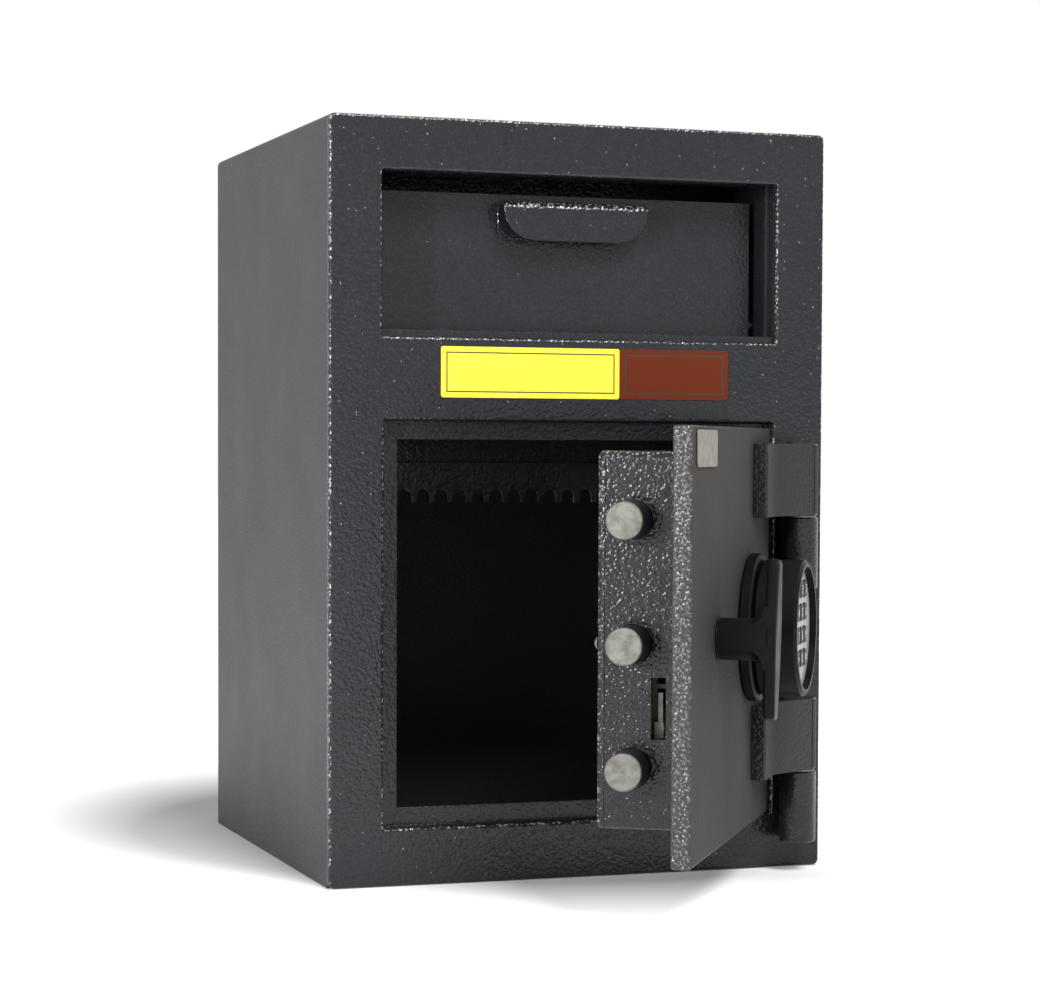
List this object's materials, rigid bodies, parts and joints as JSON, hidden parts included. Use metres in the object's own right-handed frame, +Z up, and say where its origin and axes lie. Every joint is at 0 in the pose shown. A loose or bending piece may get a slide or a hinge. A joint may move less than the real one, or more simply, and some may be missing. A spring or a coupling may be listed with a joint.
{
  "type": "drop safe with deposit hopper",
  "caption": "Upright steel safe with a tilt-out deposit hopper over a thick hinged door standing open, with round locking bolts, a turning handle and a round keypad.",
  "frame": {"origin": "centre of the cabinet's footprint on the underside of the base plate", "axes": "+X to the right seen from the front, +Y to the back, +Z up; the front plate's face is the plane Y = -171 mm"},
  "size_m": [0.354, 0.5925, 0.51],
  "materials": {
    "cabinet_paint": "dark blue-grey hammered powder coat",
    "door_paint": "grey-brown hammered powder coat",
    "bare_steel": "satin turned steel",
    "zinc": "dull zinc plate",
    "yellow_plate": "bright yellow enamel",
    "brown_plate": "red-brown enamel",
    "badge": "pale brushed metal",
    "black_plastic": "warm black satin plastic",
    "silver_face": "silver speckled plastic",
    "key_rubber": "black rubber"
  },
  "bodies": {
    "cabinet": {"cabinet_wrap": "cabinet_paint", "base_plate": "cabinet_paint", "back_plate": "cabinet_paint", "front_plate": "cabinet_paint", "stop_frame": "cabinet_paint", "bolt_keeper": "cabinet_paint", "head_deck": "cabinet_paint", "anti_fish_comb": "cabinet_paint", "roof_baffle": "cabinet_paint", "throat_liner": "cabinet_paint", "knuckle_fixed_lower": "cabinet_paint", "knuckle_fixed_upper": "cabinet_paint", "hopper_pin_left": "bare_steel", "hopper_pin_right": "bare_steel", "yellow_plate": "yellow_plate", "brown_plate": "brown_plate", "hinge_pin_lower": "bare_steel", "hinge_pin_upper": "bare_steel", "hinge_washer_lower": "zinc", "hinge_washer_upper": "zinc"},
    "hopper": {"hopper_panel": "cabinet_paint", "hopper_tray": "cabinet_paint", "hopper_cheek_left": "cabinet_paint", "hopper_cheek_right": "cabinet_paint", "pull_handle": "cabinet_paint"},
    "door": {"door_slab": "door_paint", "badge_plate": "badge", "hinge_strap_lower": "door_paint", "hinge_strap_upper": "door_paint", "bolt_box": "door_paint", "box_cover": "door_paint", "cover_screw_left": "bare_steel", "cover_screw_right": "bare_steel", "guide_bar": "zinc", "dead_bar": "door_paint", "lock_body": "zinc", "keypad_base": "black_plastic", "keypad_housing": "black_plastic", "key_face": "silver_face", "handle_collar": "black_plastic"},
    "carriage": {"carriage_bar": "zinc", "bolt_lower": "bare_steel", "bolt_middle": "bare_steel", "bolt_upper": "bare_steel"},
    "handle": {"t_handle": "black_plastic", "spindle_cam": "zinc"},
    "lock_pin": {"lock_pin": "bare_steel"},
    "key_1": {"key_1": "key_rubber"},
    "key_2": {"key_2": "key_rubber"},
    "key_3": {"key_3": "key_rubber"},
    "key_4": {"key_4": "key_rubber"},
    "key_5": {"key_5": "key_rubber"},
    "key_6": {"key_6": "key_rubber"},
    "key_7": {"key_7": "key_rubber"},
    "key_8": {"key_8": "key_rubber"},
    "key_9": {"key_9": "key_rubber"},
    "key_star": {"key_star": "key_rubber"},
    "key_0": {"key_0": "key_rubber"},
    "key_hash": {"key_hash": "key_rubber"}
  },
  "joints": [
    {"name": "door_hinge", "type": "hinge", "parent": "cabinet", "child": "door", "pos_m": [0.1515, -0.19, 0.158], "axis": [0, 0, 1], "range_deg": [-57, 58]},
    {"name": "hopper_tilt", "type": "hinge", "parent": "cabinet", "child": "hopper", "pos_m": [0, -0.128, 0.378], "axis": [1, 0, 0], "range_deg": [0, 45]},
    {"name": "handle_turn", "type": "hinge", "parent": "door", "child": "handle", "pos_m": [0.04176, -0.35899, 0.174], "axis": [0.8387, -0.5446, 0], "range_deg": [0, 90]},
    {"name": "bolt_throw", "type": "slide", "parent": "door", "child": "carriage", "axis": [-0.5446, -0.8387, 0], "range_m": [0, 0.02]},
    {"name": "lock_pin_slide", "type": "slide", "parent": "door", "child": "lock_pin", "axis": [0, 0, 1], "range_m": [0, 0.008]},
    {"name": "key_1_press", "type": "slide", "parent": "door", "child": "key_1", "axis": [-0.8387, 0.5446, 0], "range_m": [0, 0.0012], "stiffness_N_per_m": 300},
    {"name": "key_2_press", "type": "slide", "parent": "door", "child": "key_2", "axis": [-0.8387, 0.5446, 0], "range_m": [0, 0.0012], "stiffness_N_per_m": 300},
    {"name": "key_3_press", "type": "slide", "parent": "door", "child": "key_3", "axis": [-0.8387, 0.5446, 0], "range_m": [0, 0.0012], "stiffness_N_per_m": 300},
    {"name": "key_4_press", "type": "slide", "parent": "door", "child": "key_4", "axis": [-0.8387, 0.5446, 0], "range_m": [0, 0.0012], "stiffness_N_per_m": 300},
    {"name": "key_5_press", "type": "slide", "parent": "door", "child": "key_5", "axis": [-0.8387, 0.5446, 0], "range_m": [0, 0.0012], "stiffness_N_per_m": 300},
    {"name": "key_6_press", "type": "slide", "parent": "door", "child": "key_6", "axis": [-0.8387, 0.5446, 0], "range_m": [0, 0.0012], "stiffness_N_per_m": 300},
    {"name": "key_7_press", "type": "slide", "parent": "door", "child": "key_7", "axis": [-0.8387, 0.5446, 0], "range_m": [0, 0.0012], "stiffness_N_per_m": 300},
    {"name": "key_8_press", "type": "slide", "parent": "door", "child": "key_8", "axis": [-0.8387, 0.5446, 0], "range_m": [0, 0.0012], "stiffness_N_per_m": 300},
    {"name": "key_9_press", "type": "slide", "parent": "door", "child": "key_9", "axis": [-0.8387, 0.5446, 0], "range_m": [0, 0.0012], "stiffness_N_per_m": 300},
    {"name": "key_star_press", "type": "slide", "parent": "door", "child": "key_star", "axis": [-0.8387, 0.5446, 0], "range_m": [0, 0.0012], "stiffness_N_per_m": 300},
    {"name": "key_0_press", "type": "slide", "parent": "door", "child": "key_0", "axis": [-0.8387, 0.5446, 0], "range_m": [0, 0.0012], "stiffness_N_per_m": 300},
    {"name": "key_hash_press", "type": "slide", "parent": "door", "child": "key_hash", "axis": [-0.8387, 0.5446, 0], "range_m": [0, 0.0012], "stiffness_N_per_m": 300}
  ],
  "couplings": [
    {"joint": "bolt_throw", "follows": "handle_turn", "m_per_rad": 0.012732}
  ]
}
